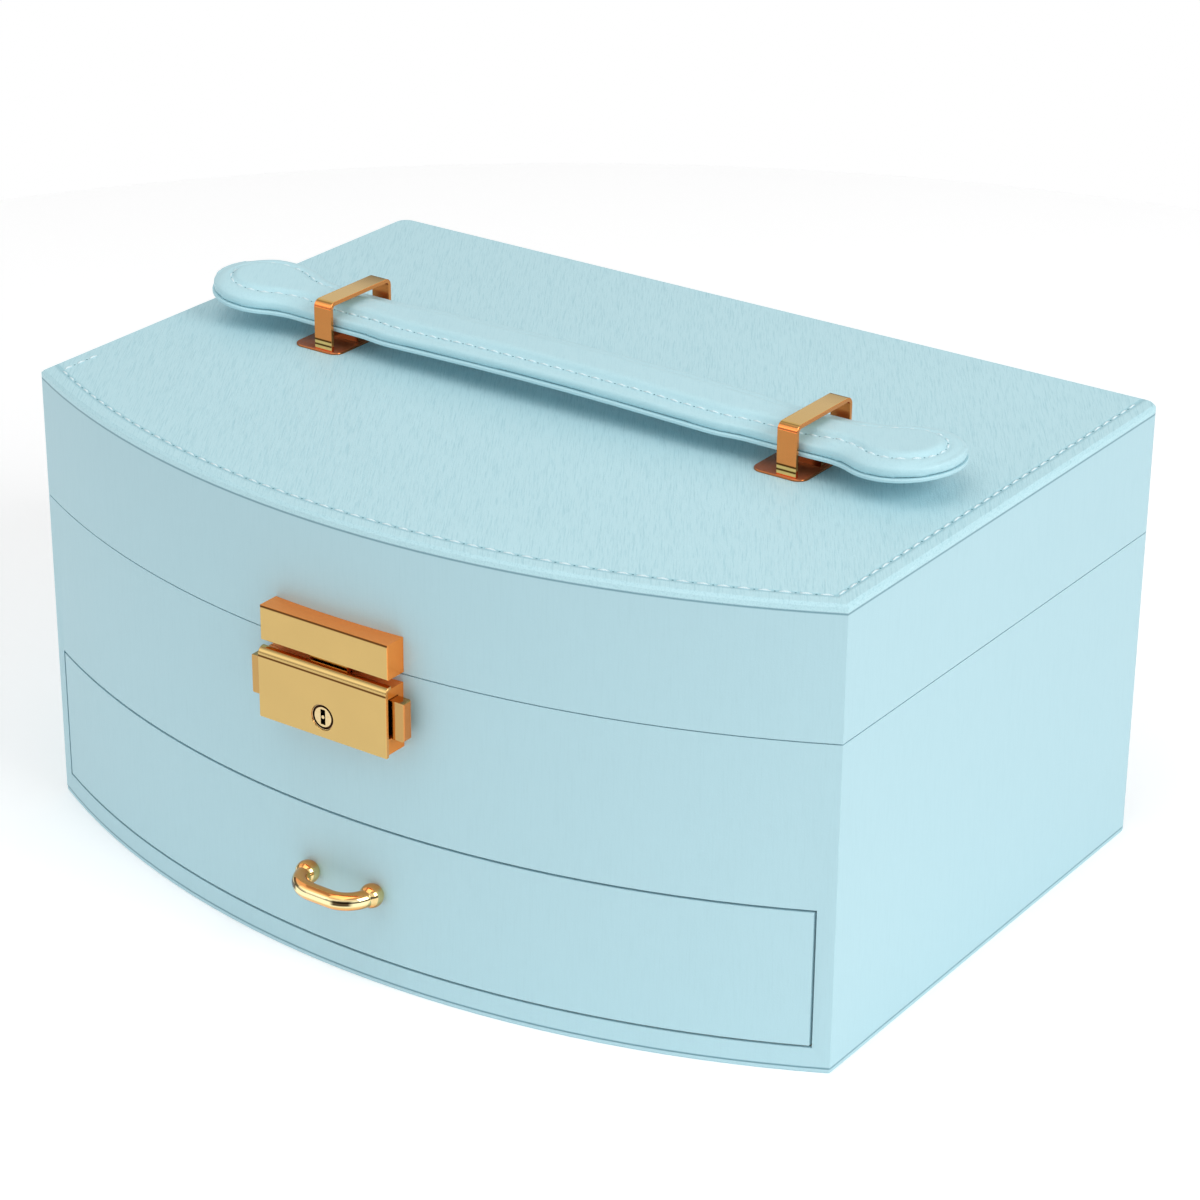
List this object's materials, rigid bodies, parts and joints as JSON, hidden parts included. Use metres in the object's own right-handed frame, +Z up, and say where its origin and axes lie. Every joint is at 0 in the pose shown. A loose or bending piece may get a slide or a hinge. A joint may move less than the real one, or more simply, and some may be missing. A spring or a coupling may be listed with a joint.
{
  "type": "jewelry box",
  "caption": "Bow-fronted leather jewelry box with a hinged lid, strap handle, squeeze lock, lined tray, lid mirror and a drawer.",
  "frame": {"origin": "centre of the base, midway between the front corners and the back, on the surface it stands on", "axes": "+X towards the right end seen from the front, +Y from the bowed front to the hinges, +Z up"},
  "size_m": [0.26, 0.2087, 0.1451],
  "materials": {
    "wall_board": "plain fibreboard, raw",
    "leather": "light blue, fine cross grain, satin",
    "velvet": "short ivory velvet",
    "gold": "polished gold plate",
    "steel": "bright wire",
    "mirror": "silvered glass"
  },
  "bodies": {
    "case": {"base_board": "wall_board", "bottom_board": "wall_board", "bay_felt": "velvet", "case_side_left": "wall_board", "case_side_right": "wall_board", "case_back": "wall_board", "case_front_band": "wall_board", "deck_board": "wall_board", "case_leather": "leather", "tray_lining": "velvet", "tray_divider_long": "velvet", "tray_divider_ring": "velvet", "tray_divider_cross": "velvet", "tray_divider_back": "velvet", "ring_rolls": "velvet", "hinge_case_leaves": "gold", "hinge_pins": "gold", "hinge_case_screws": "gold", "lock_case": "gold", "lock_plate": "gold"},
    "lid": {"lid_side_left": "wall_board", "lid_side_right": "wall_board", "lid_back": "wall_board", "lid_front": "wall_board", "lid_top_board": "wall_board", "lid_leather": "leather", "lid_panel": "leather", "lid_lining": "velvet", "mirror_frame": "gold", "mirror_glass": "mirror", "hinge_lid_leaves": "gold", "hinge_lid_screws": "gold", "lock_strike": "gold", "lock_tongue": "gold", "staple_left": "gold", "staple_right": "gold", "staple_plate_left": "gold", "staple_plate_right": "gold"},
    "handle": {"handle_backing": "leather", "handle_pad": "leather"},
    "drawer": {"drawer_front_board": "wall_board", "drawer_front_leather": "leather", "drawer_side_left": "wall_board", "drawer_side_right": "wall_board", "drawer_back": "wall_board", "drawer_bottom": "wall_board", "drawer_lining": "velvet", "drawer_divider_cross": "velvet", "drawer_divider_left": "velvet", "drawer_divider_right": "velvet", "drawer_pull": "gold", "drawer_pull_screws": "steel"},
    "lock_button_left": {"lock_button_left": "gold", "lock_spring_left": "steel"},
    "lock_button_right": {"lock_button_right": "gold", "lock_spring_right": "steel"},
    "lock_cylinder": {"lock_cylinder": "gold"}
  },
  "joints": [
    {"name": "lid_hinge", "type": "hinge", "parent": "case", "child": "lid", "pos_m": [0, 0.0822, 0.09315], "axis": [-1, 0, 0], "range_deg": [0, 100]},
    {"name": "handle_lift", "type": "slide", "parent": "lid", "child": "handle", "axis": [0, 0, 1], "range_m": [0, 0.0017]},
    {"name": "drawer_slide", "type": "slide", "parent": "case", "child": "drawer", "axis": [0, -1, 0], "range_m": [0, 0.13]},
    {"name": "left_button_push", "type": "slide", "parent": "case", "child": "lock_button_left", "axis": [1, 0, 0], "range_m": [0, 0.002], "stiffness_N_per_m": 500, "springref_m": -0.001},
    {"name": "right_button_push", "type": "slide", "parent": "case", "child": "lock_button_right", "axis": [-1, 0, 0], "range_m": [0, 0.002], "stiffness_N_per_m": 500, "springref_m": -0.001},
    {"name": "cylinder_turn", "type": "hinge", "parent": "case", "child": "lock_cylinder", "pos_m": [0, -0.118, 0.078], "axis": [0, 1, 0], "range_deg": [0, 90]}
  ]
}
